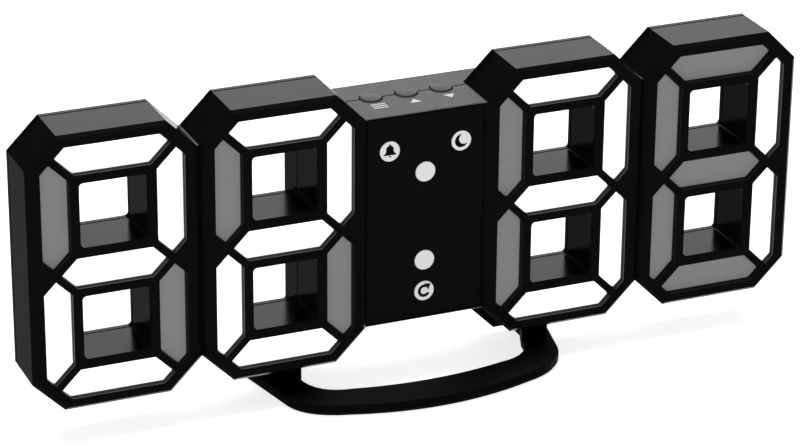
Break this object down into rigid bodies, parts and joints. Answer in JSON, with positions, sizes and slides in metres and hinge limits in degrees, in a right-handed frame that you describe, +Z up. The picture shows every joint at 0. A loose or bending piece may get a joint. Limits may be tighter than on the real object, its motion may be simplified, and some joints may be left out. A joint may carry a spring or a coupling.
{
  "type": "digital clock",
  "caption": "Desk clock of open seven-bar numerals: black case with see-through holes, centre panel, top push buttons, battery cover at the back and a folding stand.",
  "frame": {"origin": "middle of the foot of the bounding box, on the table", "axes": "+X to the clock's right as a reader sees it, -Y out of the display, +Z up"},
  "size_m": [0.2466, 0.045, 0.0984],
  "materials": {
    "case_black": "satin black, semi-gloss",
    "panel_black": "smooth black",
    "lit_lens": "white diffuser, lit",
    "unlit_lens": "grey diffuser, unlit",
    "badge_lens": "pale diffuser",
    "button_black": "satin black",
    "switch_black": "moulded black",
    "board_green": "solder mask",
    "inner_white": "moulded white",
    "steel": "plated steel",
    "rubber": "soft black"
  },
  "bodies": {
    "case": {"front_shell": "case_black", "rear_shell": "case_black", "centre_panel": "panel_black", "bar_1a": "lit_lens", "bar_1b": "lit_lens", "bar_1d": "lit_lens", "bar_1e": "lit_lens", "bar_1g": "lit_lens", "bar_2a": "lit_lens", "bar_2b": "lit_lens", "bar_2d": "lit_lens", "bar_2e": "lit_lens", "bar_2g": "lit_lens", "bar_3a": "lit_lens", "bar_3b": "lit_lens", "bar_3c": "lit_lens", "bar_3d": "lit_lens", "bar_3g": "lit_lens", "bar_4b": "lit_lens", "bar_4c": "lit_lens", "bar_1c": "unlit_lens", "bar_1f": "unlit_lens", "bar_2c": "unlit_lens", "bar_2f": "unlit_lens", "bar_3e": "unlit_lens", "bar_3f": "unlit_lens", "bar_4a": "unlit_lens", "bar_4d": "unlit_lens", "bar_4e": "unlit_lens", "bar_4f": "unlit_lens", "bar_4g": "unlit_lens", "bell_badge": "badge_lens", "moon_badge": "badge_lens", "upper_dot": "badge_lens", "lower_dot": "badge_lens", "ring_badge": "badge_lens", "switch_1": "switch_black", "switch_2": "switch_black", "switch_3": "switch_black", "buzzer": "switch_black", "circuit_board": "board_green", "button_board": "board_green", "light_baffle": "inner_white", "cell_clip": "inner_white", "coin_cell": "steel", "power_socket": "steel", "case_screw_1": "steel", "case_screw_2": "steel", "case_screw_3": "steel", "case_screw_4": "steel", "hinge_pin_left": "steel", "hinge_pin_right": "steel"},
    "menu_button": {"button_menu": "button_black"},
    "up_button": {"button_up": "button_black"},
    "down_button": {"button_down": "button_black"},
    "battery_cover": {"battery_door": "case_black"},
    "stand": {"stand": "case_black", "stand_sole": "rubber"}
  },
  "joints": [
    {"name": "stand_hinge", "type": "hinge", "parent": "case", "child": "stand", "pos_m": [0, 0.01725, 0.0088], "axis": [1, 0, 0], "range_deg": [0, 180]},
    {"name": "menu_press", "type": "slide", "parent": "case", "child": "menu_button", "axis": [0, 0, -1], "range_m": [0, 0.0006], "stiffness_N_per_m": 400},
    {"name": "up_press", "type": "slide", "parent": "case", "child": "up_button", "axis": [0, 0, -1], "range_m": [0, 0.0006], "stiffness_N_per_m": 400},
    {"name": "down_press", "type": "slide", "parent": "case", "child": "down_button", "axis": [0, 0, -1], "range_m": [0, 0.0006], "stiffness_N_per_m": 400},
    {"name": "battery_cover_slide", "type": "slide", "parent": "case", "child": "battery_cover", "axis": [0, 0, -1], "range_m": [0, 0.0195]}
  ]
}
